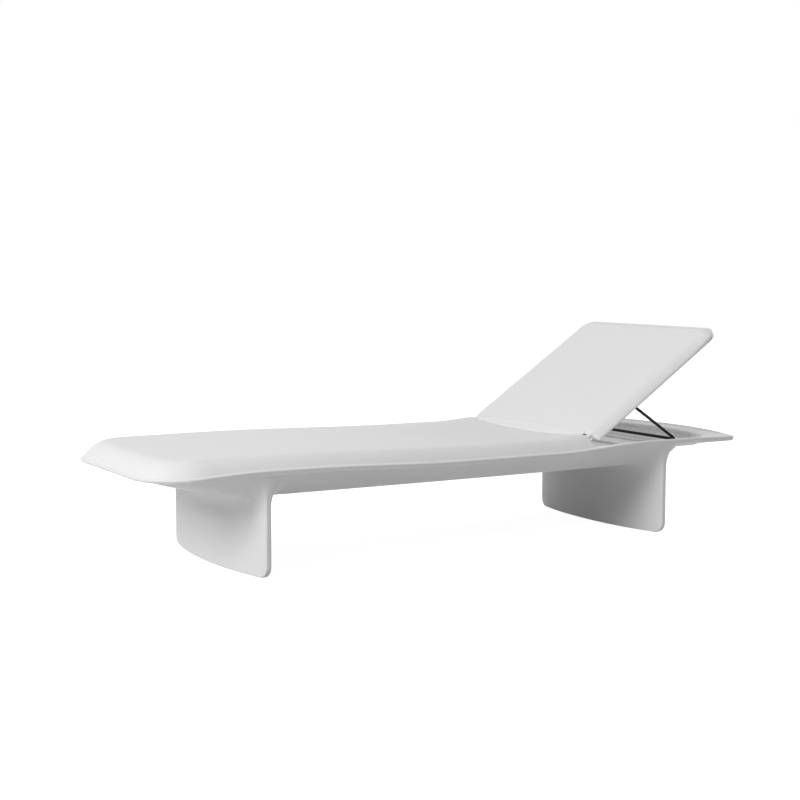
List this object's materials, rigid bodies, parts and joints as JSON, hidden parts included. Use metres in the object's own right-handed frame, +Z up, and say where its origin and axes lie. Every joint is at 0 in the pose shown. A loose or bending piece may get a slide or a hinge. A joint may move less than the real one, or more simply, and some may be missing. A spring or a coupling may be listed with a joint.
{
  "type": "chaise longue",
  "caption": "Long moulded sun lounger on bowed cross legs, with a hinged backrest that a bent rod props against a ridged tray.",
  "frame": {"origin": "on the floor, under the middle of the lounger's length and width", "axes": "+X towards the head end, +Y to the far side of the picture, +Z up"},
  "size_m": [2.05, 0.726, 0.6455],
  "materials": {
    "white_shell": "white moulded polyethylene, satin with a fine moulded grain",
    "black_rod": "black powder coat",
    "steel": "stainless steel",
    "brass": "plain brass",
    "bush": "dark nylon"
  },
  "bodies": {
    "base": {"deck_shell": "white_shell", "hull_shell": "white_shell", "foot_leg": "white_shell", "head_leg": "white_shell", "leg_bolts": "steel", "leg_washers": "steel", "leg_inserts": "brass", "near_hinge_bush": "bush", "far_hinge_bush": "bush"},
    "backrest": {"backrest_shell": "white_shell", "backrest_liner": "white_shell", "liner_screws": "steel", "bracket_screws": "steel", "near_bail_bracket": "black_rod", "far_bail_bracket": "black_rod", "near_backing_plate": "steel", "far_backing_plate": "steel", "near_hinge_pin": "steel", "far_hinge_pin": "steel"},
    "bail": {"prop_bail": "black_rod", "near_bail_cap": "black_rod", "far_bail_cap": "black_rod"}
  },
  "joints": [
    {"name": "recline", "type": "hinge", "parent": "base", "child": "backrest", "pos_m": [0.392, 0, 0.316], "axis": [0, -1, 0], "range_deg": [-33.5, 36]},
    {"name": "bail_swing", "type": "hinge", "parent": "backrest", "child": "bail", "pos_m": [0.60619, 0, 0.42179], "axis": [0, -1, 0], "range_deg": [-73, 68]}
  ],
  "couplings": [
    {"joint": "bail_swing", "follows": "recline", "ratio": -2}
  ]
}
